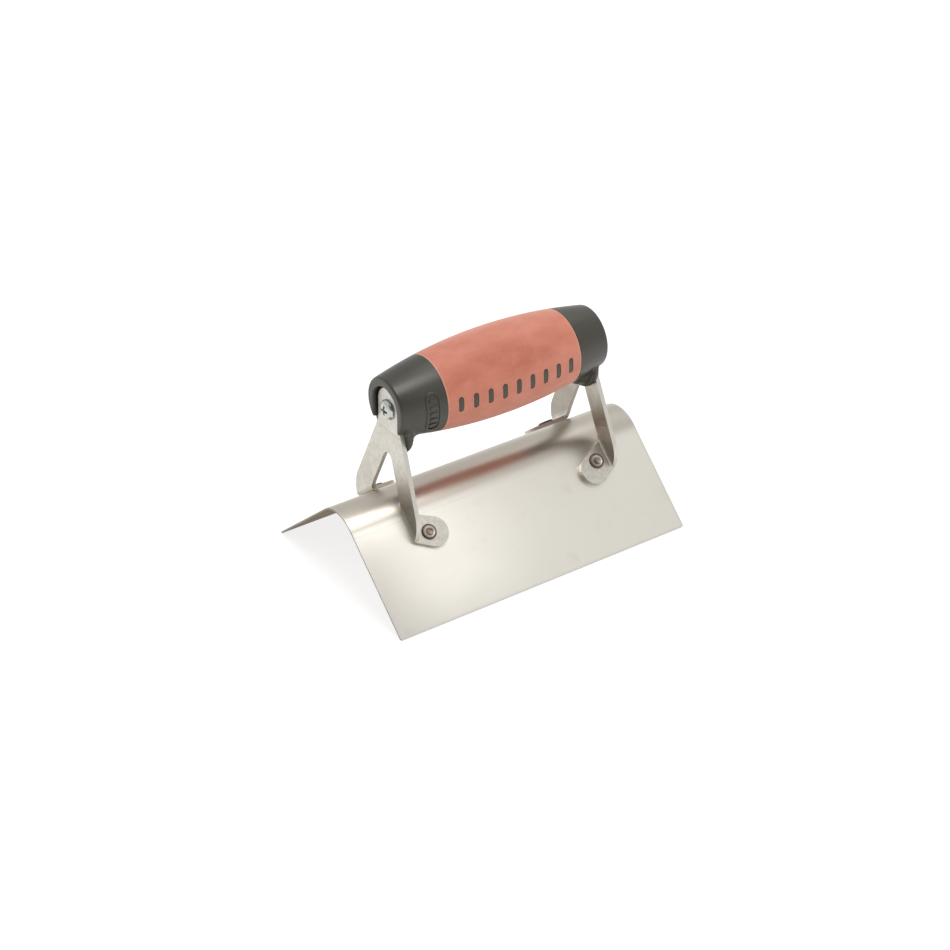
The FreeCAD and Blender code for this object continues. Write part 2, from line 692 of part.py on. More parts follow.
def add_badge(body):
    """A low oval rim with short plain ribs in it, on the front of the moulding beside the sleeve."""
    rim = new_sketch(body, "XZ_Plane", "badge_rim_outline")
    draw_slot(rim, BADGE_PLACE, "0", "badge_width", "badge_height")
    inner_width = "(badge_width - 2 * badge_rim)"
    draw_slot(rim, BADGE_PLACE, "0", inner_width, "(badge_height - 2 * badge_rim)")
    length = "handle_middle_radius + grip_wall"
    extrude(body, "Pad", "badge_rim_pad", rim, length)
    rib = new_sketch(body, "XZ_Plane", "badge_rib_outline")
    left = f"({BADGE_PLACE} - badge_rib_width / 2)"
    right = f"({BADGE_PLACE} + badge_rib_width / 2)"
    bottom = "(-badge_rib_pitch * (badge_rib_count - 1) / 2 - badge_rib_height / 2)"
    top = f"({bottom} + badge_rib_height)"
    draw_outline(rib, [(left, bottom), (right, bottom), (right, top), (left, top)])
    first_rib = extrude(body, "Pad", "first_badge_rib", rib, length)
    repeat_along(body, "badge_ribs", [first_rib], rib, "badge_rib_pitch", "badge_rib_count", "V_Axis")
    trim = new_sketch(body, "XZ_Plane", "badge_trim_section")
    reach = "(handle_length / 2 - rim_reach)"
    start = f"(belly_offset - {GRIP_LENGTH} / 2)"
    draw_outline(
        trim,
        [
            (f"-{reach}", barrel_at(f"-{reach}", "badge_relief"), f"{BARREL_ARC} + badge_relief"),
            (start, barrel_at(start, "badge_relief")),
            (start, "2 * handle_middle_radius"),
            (f"-{reach}", "2 * handle_middle_radius"),
        ],
    )
    revolve(body, "Groove", "badge_trim", trim)


def make_grip_sleeve():
    body = new_body("grip_sleeve")
    sketch = new_sketch(body, "XZ_Plane", "sleeve_section")
    half = f"({GRIP_LENGTH} / 2)"
    draw_barrel_band(sketch, half, "(0 - grip_wall)", "0")
    revolve(body, "Revolution", "sleeve", sketch)
    end = value(half)
    outer = value(barrel_at(f"(belly_offset + {half})"))
    middle = value("belly_offset")

    def is_outer_edge(point, edge):
        if abs(abs(point.x - middle) - end) > 0.01:
            return False
        return edge.Length > 2 * math.pi * (outer - 0.1)

    round_edges(body, "sleeve_edges", "grip_edge_round", is_outer_edge)
    window = new_sketch(body, "XZ_Plane", "window_outline")
    draw_bar(window, "bond_gap")
    through = "handle_middle_radius + grip_wall"
    first_window = extrude(body, "Pocket", "first_window", window, through, reverse=True)
    repeat_along(body, "windows", [first_window], window, BAR_PITCH, "bar_count", "H_Axis")
    place(body, across="handle_offset", up="handle_height")


def export_parts():
    """Check every object, then write each body's solid to its own file."""
    document.recompute()
    for item in document.Objects:
        if "Invalid" in item.State or "Error" in item.State:
            raise RuntimeError(f"{item.Name} is {item.State}")
    os.makedirs("parts", exist_ok=True)
    for body in document.findObjects("PartDesign::Body"):
        if body.Label.endswith("_outline"):
            continue
        shape = body.Shape
        if shape.isNull() or not shape.isValid() or len(shape.Solids) != 1:
            raise RuntimeError(f"{body.Label} isn't one valid solid")
        shape.exportStep(f"parts/{body.Label}.step")
        print(f"{body.Label}: {shape.Volume:.1f} mm3")


make_blade()
for side, turn in (("left", 180), ("right", 0)):
    make_bracket(side, turn)
    for face in ("front", "back"):
        make_stud(side, face)
    make_screw(side, turn)
make_handle_core()
make_grip_sleeve()
export_parts()
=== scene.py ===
import math

import bmesh
import bpy
from mathutils import Matrix, Vector


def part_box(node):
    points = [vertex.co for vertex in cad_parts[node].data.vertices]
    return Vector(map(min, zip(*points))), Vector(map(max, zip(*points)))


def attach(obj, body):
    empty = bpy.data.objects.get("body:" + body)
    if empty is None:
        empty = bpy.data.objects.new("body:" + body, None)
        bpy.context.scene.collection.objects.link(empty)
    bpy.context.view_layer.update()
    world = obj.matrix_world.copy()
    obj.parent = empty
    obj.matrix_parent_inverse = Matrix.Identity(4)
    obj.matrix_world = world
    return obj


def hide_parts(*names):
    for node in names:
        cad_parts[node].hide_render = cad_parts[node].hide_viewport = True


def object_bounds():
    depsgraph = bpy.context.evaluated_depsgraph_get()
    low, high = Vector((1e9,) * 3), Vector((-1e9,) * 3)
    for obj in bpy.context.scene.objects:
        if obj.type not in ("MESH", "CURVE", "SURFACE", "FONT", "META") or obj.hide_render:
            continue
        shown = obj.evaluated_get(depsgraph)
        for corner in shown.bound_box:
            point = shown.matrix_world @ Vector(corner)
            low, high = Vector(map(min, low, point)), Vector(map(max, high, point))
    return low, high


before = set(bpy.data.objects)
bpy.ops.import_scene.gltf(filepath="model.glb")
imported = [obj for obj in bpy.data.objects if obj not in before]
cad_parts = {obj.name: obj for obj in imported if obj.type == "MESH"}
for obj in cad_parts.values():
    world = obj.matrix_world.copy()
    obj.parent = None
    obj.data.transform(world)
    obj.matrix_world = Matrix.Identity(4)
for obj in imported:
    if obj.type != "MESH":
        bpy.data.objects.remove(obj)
cad_low, cad_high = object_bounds()

# An outside corner trowel. Metres, +Z up, X along the ridge of the blade. Sizes that the CAD parts in
# model.glb hold are read from them; the rest are named here.
MM = 0.001
AXIS_X = Vector((1, 0, 0))
AXIS_Y = Vector((0, 1, 0))
AXIS_Z = Vector((0, 0, 1))
MERGE_REACH = 0.001 * MM
CUT_REACH = 0.0001 * MM
TOUCH_REACH = 0.01 * MM
RELIEF_DEPTH = 0.1 * MM
# Cosine of the widest angle at which a face still counts as facing a direction
FACING = 0.5
# Angles between faces, in degrees
SHEET_CORNER = 60
STAMPED_CORNER = 40
LEVEL_WITHIN = 0.5

# Blade
blade_low, blade_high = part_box("blade")
SIDE_SLOPE = math.radians(41.4)
BLADE_SHEET = 0.8 * MM
RIDGE_RADIUS = 15.8 * MM
BLADE_CORNER = 1.0 * MM
BLADE_EDGE_ROUND = 0.12 * MM
EDGE_HEIGHT = BLADE_SHEET * math.cos(SIDE_SLOPE)
BEND_STEPS = 40
CORNER_STEPS = 5

# Marks on the blade: how far in from the rim, down from the bend line, or down from the top of the ridge
WEAR_FULL = 0.2 * MM
WEAR_END = 1.6 * MM
PRESS_LINE_WIDTH = 0.6 * MM
LOWER_LINE_BOTTOM = 3.8 * MM
LOWER_LINE_TOP = 3.3 * MM
PRESS_LINE_FADE = 0.35 * MM
RUB_BOTTOM = 3.0 * MM
RUB_TOP = 0.8 * MM
RUB_FADE = 0.7 * MM
# Painted shade and painted reflection of the handle along the ridge, measured down from its top
RIDGE_SHADE_START = 7.0 * MM
RIDGE_SHADE_FULL = 2.5 * MM

# Handle
core_low, core_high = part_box("handle_core")
sleeve_low, sleeve_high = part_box("grip_sleeve")
screw_low, screw_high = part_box("left_screw")
HANDLE_PLACE = (core_low.x + core_high.x) / 2
HANDLE_HEIGHT = (sleeve_low.z + sleeve_high.z) / 2
HANDLE_HALF = (core_high.x - core_low.x) / 2
BELLY_PLACE = (sleeve_low.x + sleeve_high.x) / 2
MIDDLE_RADIUS = sleeve_high.y
END_RADIUS = 13.7 * MM
BARREL_SAG = MIDDLE_RADIUS - END_RADIUS
BARREL_ARC = (HANDLE_HALF**2 + BARREL_SAG**2) / (2 * BARREL_SAG)
GRIP_HALF = (sleeve_high.x - sleeve_low.x) / 2
GRIP_WALL = 2.5 * MM
BOND_GAP = 0.05 * MM
RIM_REACH = 0.8 * MM
RIM_DROP = 0.9 * MM
RECESS_RADIUS = 9.2 * MM
RECESS_DEPTH = 4.0 * MM
SEAT = HANDLE_HALF - RECESS_DEPTH
LUG_RADIUS = 13.5 * MM
LUG_DROP = 9.5 * MM
LUG_THICKNESS = 2.2 * MM
LUG_ROUND = 0.7 * MM
BOSS_RADIUS = 9.0 * MM
BOSS_DROP = 12.6 * MM
BOSS_DEPTH = 4.0 * MM
BOSS_LENGTH = BOSS_DEPTH + LUG_THICKNESS / 2
BOSS_ROUND = 2.4 * MM
BLEND_REACH = 7.0 * MM
BLEND_STEPS = 10
BLEND_PASSES = 4
SKIN_PASSES = 2
BARREL_STEPS = 36
BARREL_FACETS = 128
DISC_FACETS = 64
DISC_RIM_STEPS = 6
RECESS_STEPS = 32
CORE_VOXEL = 0.5 * MM
# Painted highlight on the sleeve's rims, measured in from each end
RIM_HIGHLIGHT_START = 0.7 * MM
RIM_HIGHLIGHT_FULL = 0.25 * MM

# Bars in the sleeve's windows, and the badge
BAR_COUNT = 9
BAR_MARGIN = 6.2 * MM
BAR_WIDTH = 2.4 * MM
BAR_HEIGHT = 7.0 * MM
BAR_LIFT = 1.0 * MM
BAR_DEPTH = 0.15 * MM
BADGE_INSET = 14.4 * MM
BADGE_WIDTH = 6.6 * MM
BADGE_HEIGHT = 18.6 * MM
BADGE_RIM = 0.8 * MM
BADGE_RELIEF = 0.4 * MM
BADGE_RIB_COUNT = 5
BADGE_RIB_PITCH = 2.9 * MM
BADGE_RIB_WIDTH = 3.4 * MM
BADGE_RIB_HEIGHT = 1.3 * MM
SLOT_FACETS = 32
STRIP_PITCH = 0.6 * MM
RAISED_EDGE_ROUND = 0.14 * MM

# Screws
SCREW_HEIGHT = (screw_low.z + screw_high.z) / 2
SCREW_RADIUS = 2.1 * MM
SCREW_HEAD_RADIUS = (screw_high.z - screw_low.z) / 2
SCREW_HEAD_HEIGHT = 2.5 * MM
SCREW_HEAD_SIDE = 0.7 * MM
SCREW_HEAD_LIP = 0.15 * MM
SCREW_DOME_SHARE = 0.8
SCREW_DOME_STEPS = 14
SCREW_FACETS = 48
SCREW_TIP = 4.0 * MM
SCREW_LENGTH = 25.0 * MM
THREAD_PITCH = 1.4 * MM
THREAD_DEPTH = 0.35 * MM
THREAD_SINK = 0.1 * MM
THREAD_STEPS = 24
CROSS_SPAN = 6.6 * MM
CROSS_WIDTH = 1.6 * MM
CROSS_DEPTH = 1.7 * MM
CROSS_TAPER = 0.45
PILOT_RADIUS = 2.15 * MM
PILOT_DEPTH = 27.0 * MM
PILOT_FACETS = 32

# Brackets
BRACKET_SHEET = 2.0 * MM
TANG_FACE = SEAT + BRACKET_SHEET
CREASE_HEIGHT = HANDLE_HEIGHT - 12.5 * MM
CREASE_HALF = 0.22 * MM
CREASE_FADE = 0.12 * MM
STAMPED_EDGE_ROUND = 0.22 * MM
FOOT_REACH = 1.3 * BRACKET_SHEET
LEG_SPLIT = 1.0 * MM

# Painted shade on the legs: it starts above the feet and thins out about a slanting line
LEG_SHADE_START = 2.6 * MM
LEG_SHADE_FULL = 5.0 * MM
LEG_SHADE_HEIGHT = 55.0 * MM
LEG_SHADE_SLANT = 0.14
LEG_SHADE_FADE = 14.0 * MM

# Colours, in linear light
BLADE_PALE = (0.86, 0.835, 0.77)
BLADE_DULL = (0.79, 0.765, 0.70)
BLADE_RUBBED = (0.93, 0.91, 0.85)
BLADE_PRESSED = (0.55, 0.52, 0.46)
# Painted shade and painted reflection of the handle on the ridge
BLADE_RIDGE_SHADE = (0.51, 0.46, 0.40)
BLADE_STAIN = (0.66, 0.62, 0.55)
BLADE_WORN = (0.60, 0.59, 0.56)
# Underside of the blade, painted dark brown as shade
UNDERSIDE_SHADE_DARK = (0.24, 0.20, 0.165)
UNDERSIDE_SHADE_PALE = (0.36, 0.31, 0.26)
UNDERSIDE_SHEEN = (0.45, 0.40, 0.35, 1)
# Rim of the blade, painted dark as shade
BLADE_RIM_SHADE_DARK = (0.22, 0.185, 0.15)
BLADE_RIM_SHADE_PALE = (0.38, 0.335, 0.285)
STAMPED_PALE = (0.72, 0.69, 0.625)
STAMPED_DULL = (0.49, 0.465, 0.415)
STAMPED_SCRATCH = (0.78, 0.75, 0.69)
# Painted shade on the lower legs
STAMPED_LEG_SHADE = (0.29, 0.25, 0.20)
# Painted shade along the crease
STAMPED_CREASE_SHADE = (0.30, 0.27, 0.23)
SHEARED_DULL = (0.50, 0.48, 0.44)
SHEARED_PALE = (0.78, 0.75, 0.69)
STUD_MIDDLE = (0.50, 0.43, 0.34)
STUD_DIMPLE = (0.48, 0.41, 0.32)
# Painted shade in the hollow of the dimple
STUD_HOLLOW_SHADE = (0.22, 0.17, 0.13)
STUD_LIP = (0.60, 0.57, 0.52)
# Heat tint and painted shadow round the rim of the stud
STUD_HEAT_TINT_AND_SHADOW = (0.22, 0.165, 0.14)
STUD_BURNT_AND_SHADOW = (0.11, 0.075, 0.07)
ZINC_PALE = (0.60, 0.61, 0.575)
ZINC_DULL = (0.44, 0.46, 0.45)
PLASTIC_DARK = (0.019, 0.018, 0.014)
PLASTIC_PALE = (0.031, 0.030, 0.024)
PLASTIC_SCUFF = (0.085, 0.083, 0.072)
PLASTIC_SHEEN = (1.0, 0.97, 0.88, 1)
GRIP_PALE = (0.62, 0.22, 0.145)
GRIP_DARK = (0.47, 0.135, 0.075)
GRIP_BLOT = (0.66, 0.27, 0.195)
GRIP_SPECK = (0.36, 0.07, 0.05)
# Painted highlight on both rims of the sleeve
GRIP_RIM_HIGHLIGHT = (0.80, 0.44, 0.35)

# Room
FLOOR_HALF = 6.0
FLOOR_SHADE = (0.35, 0.35, 0.35, 1)
FLOOR_GLOW = 0.8
WHITE = (1, 1, 1, 1)
ROOM_PALE = (0.95, 0.945, 0.93, 1)
ROOM_DARK = (0.22, 0.205, 0.19, 1)
ROOM_STRENGTH = 0.85
DARK_SIDE = Vector((-0.5, -0.6, 0.62))
DARK_START = 0.62
DARK_FULL = 0.93


# ---------------------------------------------------------------- materials


class Signal:
    """A shader socket. Arithmetic on it adds Math nodes."""

    def __init__(self, finish, socket):
        self.finish = finish
        self.socket = socket

    def math(self, operation, *others):
        values = dict(enumerate((self, *others)))
        return self.finish.add("Math", {"operation": operation}, values)

    def __add__(self, other):
        return self.math("ADD", other)

    __radd__ = __add__

    def __mul__(self, other):
        return self.math("MULTIPLY", other)

    __rmul__ = __mul__

    def __sub__(self, other):
        return self.math("SUBTRACT", other)

    def __rsub__(self, other):
        return self.finish.add("Math", {"operation": "SUBTRACT"}, {0: other, 1: self})

    def __abs__(self):
        return self.math("ABSOLUTE")

    def smaller(self, other):
        return self.math("MINIMUM", other)

    def step(self, low, high):
        """0 below low, 1 above high, and a soft change between them."""
        settings = {"interpolation_type": "SMOOTHSTEP"}
        return self.finish.add("MapRange", settings, {"Value": self, "From Min": low, "From Max": high})

    def band(self, low, high, fade):
        """1 between low and high, 0 outside, with a soft change at both."""
        return self.step(low - fade, low + fade) * (1 - self.step(high - fade, high + fade))


class Finish:
    """One material: a Principled shader and the nodes that feed it."""

    def __init__(self, name, **fixed):
        self.material = bpy.data.materials.new(name)
        self.material.use_nodes = True
        self.tree = self.material.node_tree
        self.shader = self.tree.nodes["Principled BSDF"]
        for socket, value in fixed.items():
            self.shader.inputs[socket.replace("_", " ")].default_value = value

    def add(self, kind, settings=None, inputs=None, output=0):
        """Any node: its settings, its input values or links, and the output that is wanted."""
        node = self.tree.nodes.new("ShaderNode" + kind)
        for name, value in (settings or {}).items():
            if name == "stops":
                self.set_stops(node.color_ramp, value)
            else:
                setattr(node, name, value)
        for name, value in (inputs or {}).items():
            if isinstance(value, Signal):
                self.tree.links.new(value.socket, node.inputs[name])
            else:
                node.inputs[name].default_value = value
        return Signal(self, node.outputs[output])

    def set_stops(self, ramp, stops):
        """Give a ramp its stops, each a place and a colour."""
        while len(ramp.elements) > 1:
            ramp.elements.remove(ramp.elements[-1])
        for index, (place, colour) in enumerate(stops):
            element = ramp.elements[0] if index == 0 else ramp.elements.new(place)
            element.position = place
            element.color = (*colour, 1)

    def feed(self, socket, signal):
        """Link a signal to a socket of the shader."""
        self.tree.links.new(signal.socket, self.shader.inputs[socket])

    def place(self):
        return self.add("TexCoord", output="Object")

    def attribute(self, name):
        return self.add("Attribute", {"attribute_name": name}, output="Fac")

    def axes(self, vector):
        return [self.add("SeparateXYZ", {}, {0: vector}, output=axis) for axis in "XYZ"]

    def stretched(self, vector, scale, turn=(0, 0, 0)):
        """Places on the piece, scaled by axis so that a pattern runs along it."""
        return self.add("Mapping", {}, {"Vector": vector, "Scale": scale, "Rotation": turn})

    def noise(self, vector, scale, detail, roughness):
        values = {"Vector": vector, "Scale": scale, "Detail": detail, "Roughness": roughness}
        return self.add("TexNoise", {}, values)

    def colours(self, factor, first, second):
        """A mix of two colours, each a fixed one or another mix."""
        values = {0: factor, 6: first if isinstance(first, Signal) else (*first, 1)}
        values[7] = second if isinstance(second, Signal) else (*second, 1)
        return self.add("Mix", {"data_type": "RGBA"}, values, output=2)

    def relief(self, height, strength):
        """Fine relief, too shallow to be modelled."""
        values = {"Height": height, "Strength": strength, "Distance": RELIEF_DEPTH}
        self.feed("Normal", self.add("Bump", {}, values))


def blade_steel():
    """Stainless sheet: grain along the ridge, painted shade and a painted reflection of the handle along
    the top of the ridge, press marks by the bend and worn rims.
    """
    finish = Finish("blade_steel", Metallic=1.0)
    place = finish.place()
    along, across, up = finish.axes(place)
    reach = blade_high.y
    rise = (reach - abs(across)) * math.cos(SIDE_SLOPE) + (up - EDGE_HEIGHT) * math.sin(SIDE_SLOPE)
    grain = finish.noise(finish.stretched(place, (40, 2600, 2600)), 1.0, 4, 0.6)
    cross_grain = finish.noise(finish.stretched(place, (1500, 60, 60)), 1.0, 3, 0.6)
    cloud = finish.noise(place, 38, 4, 0.6)
    stain = finish.noise(place, 120, 3, 0.5).step(0.58, 0.8)
    rim = (blade_high.x - abs(along)).smaller(rise)
    worn = 1 - rim.step(WEAR_FULL, WEAR_END)
    bend_line = blade_flat()
    uneven = cloud.step(0.3, 0.65)
    upper_line = rise.band(bend_line - PRESS_LINE_WIDTH, bend_line, PRESS_LINE_FADE)
    lower_line = rise.band(bend_line - LOWER_LINE_BOTTOM, bend_line - LOWER_LINE_TOP, PRESS_LINE_FADE)
    lines = upper_line + lower_line * 0.7
    rubbed = rise.band(bend_line - RUB_BOTTOM, bend_line - RUB_TOP, RUB_FADE) * (0.4 + uneven * 0.6)
    # Painted shade and painted reflection of the handle along the top of the ridge
    ridge = (up - blade_high.z).step(-RIDGE_SHADE_START, -RIDGE_SHADE_FULL)
    shade = finish.colours(cloud, BLADE_PALE, BLADE_DULL)
    shade = finish.colours(rubbed * 0.5, shade, BLADE_RUBBED)
    shade = finish.colours(lines * uneven * 0.3, shade, BLADE_PRESSED)
    shade = finish.colours(ridge * 0.85, shade, BLADE_RIDGE_SHADE)
    shade = finish.colours(stain * 0.22, shade, BLADE_STAIN)
    finish.feed("Base Color", finish.colours(worn * 0.35, shade, BLADE_WORN))
    finish.feed("Roughness", 0.27 + cloud * 0.10 + grain * 0.08 + worn * 0.08)
    finish.relief(grain * 0.5 + cross_grain * 0.3 + lines, 0.10)
    return finish.material


def blade_underside():
    """Mill finish, its dark brown colour and brownish sheen painted in as shade under the tool."""
    finish = Finish("blade_underside", Metallic=1.0, Specular_Tint=UNDERSIDE_SHEEN)
    place = finish.place()
    cloud = finish.noise(finish.stretched(place, (18, 40, 40)), 1.0, 4, 0.6)
    grain = finish.noise(finish.stretched(place, (60, 2200, 2200)), 1.0, 3, 0.6)
    # The underside's dark colour is painted shade
    finish.feed("Base Color", finish.colours(cloud, UNDERSIDE_SHADE_DARK, UNDERSIDE_SHADE_PALE))
    finish.feed("Roughness", 0.36 + cloud * 0.12 + grain * 0.08)
    finish.relief(grain, 0.12)
    return finish.material


def blade_rim():
    """The sheared rim of the blade, torn by shearing, its dark colour painted in as shade."""
    finish = Finish("blade_rim", Metallic=1.0)
    place = finish.place()
    tears = finish.noise(place, 2600, 3, 0.6)
    cloud = finish.noise(place, 60, 3, 0.6)
    # The rim's dark colour is painted shade
    finish.feed("Base Color", finish.colours(cloud, BLADE_RIM_SHADE_DARK, BLADE_RIM_SHADE_PALE))
    finish.feed("Roughness", 0.40 + tears * 0.2)
    finish.relief(tears, 0.2)
    return finish.material


def bracket_steel():
    """Stamped strip: satin faces with fine scratches, painted shade along the crease and painted shade on
    the lower legs.
    """
    finish = Finish("bracket_steel", Metallic=1.0)
    place = finish.place()
    cloud = finish.noise(place, 90, 4, 0.6)
    grain = finish.noise(finish.stretched(place, (900, 5200, 260)), 1.0, 3, 0.6)
    scratches = finish.noise(finish.stretched(place, (500, 180, 6000), (0.5, 0, 0)), 1.0, 2, 0.5)
    scratches = scratches.step(0.62, 0.75)
    along, across, up = finish.axes(place)
    lift = (abs(across) - blade_high.y) * math.sin(SIDE_SLOPE) + (up - EDGE_HEIGHT) * math.cos(SIDE_SLOPE)
    line = LEG_SHADE_HEIGHT + along * LEG_SHADE_SLANT
    # Painted shade on the lower legs, below a slanting line, mostly left off the left back leg
    left_back_leg = (1 - along.step(-LEG_SPLIT, LEG_SPLIT)) * across.step(-LEG_SPLIT, LEG_SPLIT)
    below = (1 - (up - line).step(-LEG_SHADE_FADE, LEG_SHADE_FADE)) * (1 - left_back_leg * 0.85)
    leg_shade = lift.step(LEG_SHADE_START, LEG_SHADE_FULL) * below * (0.55 + cloud * 0.5)
    # Painted shade along the crease, which the relief also sinks as a groove
    crease = up.band(CREASE_HEIGHT - CREASE_HALF, CREASE_HEIGHT + CREASE_HALF, CREASE_FADE)
    mottle = finish.noise(place, 520, 4, 0.7).step(0.32, 0.68)
    shade = finish.colours(cloud * 0.5 + mottle * 0.5, STAMPED_PALE, STAMPED_DULL)
    shade = finish.colours(scratches * 0.35, shade, STAMPED_SCRATCH)
    shade = finish.colours(leg_shade * 0.85, shade, STAMPED_LEG_SHADE)
    finish.feed("Base Color", finish.colours(crease * 0.35, shade, STAMPED_CREASE_SHADE))
    finish.feed("Roughness", 0.30 + cloud * 0.14 + grain * 0.08)
    finish.relief(grain * 0.5 - scratches * 0.6 - crease * 1.5, 0.12)
    return finish.material


def sheared_steel():
    """The cut edge of the stamped strip: fine tears across the sheet."""
    finish = Finish("sheared_steel", Metallic=1.0)
    place = finish.place()
    tears = finish.noise(finish.stretched(place, (260, 5200, 5200)), 1.0, 4, 0.7)
    cloud = finish.noise(place, 420, 3, 0.6)
    finish.feed("Base Color", finish.colours(tears, SHEARED_DULL, SHEARED_PALE))
    finish.feed("Roughness", 0.30 + tears * 0.22 + cloud * 0.08)
    finish.relief(tears + cloud * 0.4, 0.30)
    return finish.material


def stud_steel():
    """Welded stud: a clean lip, a straw-coloured dimple with painted shade in its hollow, and a dark ring
    round the rim that is heat tint and painted shadow.
    """
    finish = Finish("stud_steel", Metallic=1.0)
    place = finish.place()
    ring = finish.attribute("from_middle")
    uneven = finish.noise(place, 900, 3, 0.6)
    shade = ring + (uneven - 0.5) * 0.10
    # The hollow ring is painted shade; the outer dark rings are heat tint and painted shadow
    stops = [(0.0, STUD_MIDDLE), (0.34, STUD_DIMPLE), (0.44, STUD_HOLLOW_SHADE)]
    stops += [(0.54, STUD_LIP), (0.66, STUD_LIP), (0.76, STUD_HEAT_TINT_AND_SHADOW), (1.0, STUD_BURNT_AND_SHADOW)]
    finish.feed("Base Color", finish.add("ValToRGB", {"stops": stops}, {"Fac": shade}))
    finish.feed("Roughness", 0.40 + uneven * 0.2)
    finish.relief(uneven, 0.2)
    return finish.material


def bright_zinc():
    """Bright zinc plate with a faint cloud."""
    finish = Finish("bright_zinc", Metallic=1.0)
    place = finish.place()
    cloud = finish.noise(place, 260, 3, 0.5)
    fine = finish.noise(place, 2600, 3, 0.6)
    finish.feed("Base Color", finish.colours(cloud, ZINC_PALE, ZINC_DULL))
    finish.feed("Roughness", 0.10 + fine * 0.14)
    finish.relief(fine, 0.12)
    return finish.material


def moulded_plastic():
    """Hard black moulding with a slight skin, sink marks and scuffs."""
    finish = Finish("moulded_plastic", Specular_Tint=PLASTIC_SHEEN, Specular_IOR_Level=0.72)
    place = finish.place()
    skin = finish.noise(place, 2400, 3, 0.6)
    sink = finish.noise(place, 70, 2, 0.5)
    scuffs = finish.noise(finish.stretched(place, (160, 900, 900)), 1.0, 4, 0.65).step(0.60, 0.78)
    shade = finish.colours(sink, PLASTIC_DARK, PLASTIC_PALE)
    finish.feed("Base Color", finish.colours(scuffs * 0.6, shade, PLASTIC_SCUFF))
    finish.feed("Roughness", 0.32 + skin * 0.12 + scuffs * 0.14)
    finish.relief(skin * 0.35 + sink * 2.0, 0.18)
    return finish.material


def soft_grip():
    """Terracotta rubber: mottled, speckled, with a painted highlight at both rims and faintly grained by
    its mould.
    """
    finish = Finish("soft_grip", Sheen_Weight=0.25, Sheen_Roughness=0.5, Specular_IOR_Level=0.42)
    place = finish.place()
    drift = finish.noise(finish.stretched(place, (26, 52, 52)), 1.0, 5, 0.62)
    blot = finish.noise(place, 150, 4, 0.65)
    fine = finish.noise(place, 3000, 3, 0.6)
    speck = finish.noise(place, 700, 2, 0.4).step(0.72, 0.78)
    along = finish.axes(place)[0]
    # Painted highlight along both rims of the sleeve
    rim = abs(along - BELLY_PLACE).step(GRIP_HALF - RIM_HIGHLIGHT_START, GRIP_HALF - RIM_HIGHLIGHT_FULL)
    shade = finish.colours(drift.step(0.3, 0.75), GRIP_PALE, GRIP_DARK)
    shade = finish.colours(blot.step(0.45, 0.75) * 0.25, shade, GRIP_BLOT)
    shade = finish.colours(speck * 0.6, shade, GRIP_SPECK)
    finish.feed("Base Color", finish.colours(rim * 0.55, shade, GRIP_RIM_HIGHLIGHT))
    finish.feed("Roughness", 0.46 + drift * 0.12 + fine * 0.08)
    finish.relief(fine * 0.6 + blot * 0.5, 0.16)
    return finish.material


def blade_flat():
    """Flat width of a blade side, from its lower edge to the bend."""
    return (blade_high.y - RIDGE_RADIUS * math.sin(SIDE_SLOPE)) / math.cos(SIDE_SLOPE)


# ---------------------------------------------------------------- making pieces


def close_piece(bm, name, nodes, finishes, sharp_angle):
    """Turn a bmesh into a piece that rides on the tool and stands for those CAD nodes."""
    mesh = bpy.data.meshes.new(name)
    bm.to_mesh(mesh)
    bm.free()
    for finish in finishes:
        mesh.materials.append(finish)
    mesh.shade_smooth()
    mesh.set_sharp_from_angle(angle=math.radians(sharp_angle))
    piece = bpy.data.objects.new(name, mesh)
    bpy.context.scene.collection.objects.link(piece)
    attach(piece, "root")
    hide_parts(*nodes)
    return piece


def sharp_edges(bm, angle):
    """Edges between two faces that turn by more than an angle in degrees."""
    limit = math.radians(angle)
    return [edge for edge in bm.edges if edge.is_manifold and edge.calc_face_angle() > limit]


def round_off(bm, edges, radius, segments=2):
    """Round edges over, in a few segments."""
    bmesh.ops.bevel(
        bm,
        geom=edges,
        offset=radius,
        offset_type="OFFSET",
        segments=segments,
        profile=0.5,
        affect="EDGES",
        clamp_overlap=True,
        material=-1,
    )


def merged_copy(node):
    """A CAD node's own mesh with its loose triangles joined up."""
    bm = bmesh.new()
    bm.from_mesh(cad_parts[node].data)
    bmesh.ops.remove_doubles(bm, verts=bm.verts, dist=MERGE_REACH)
    return bm


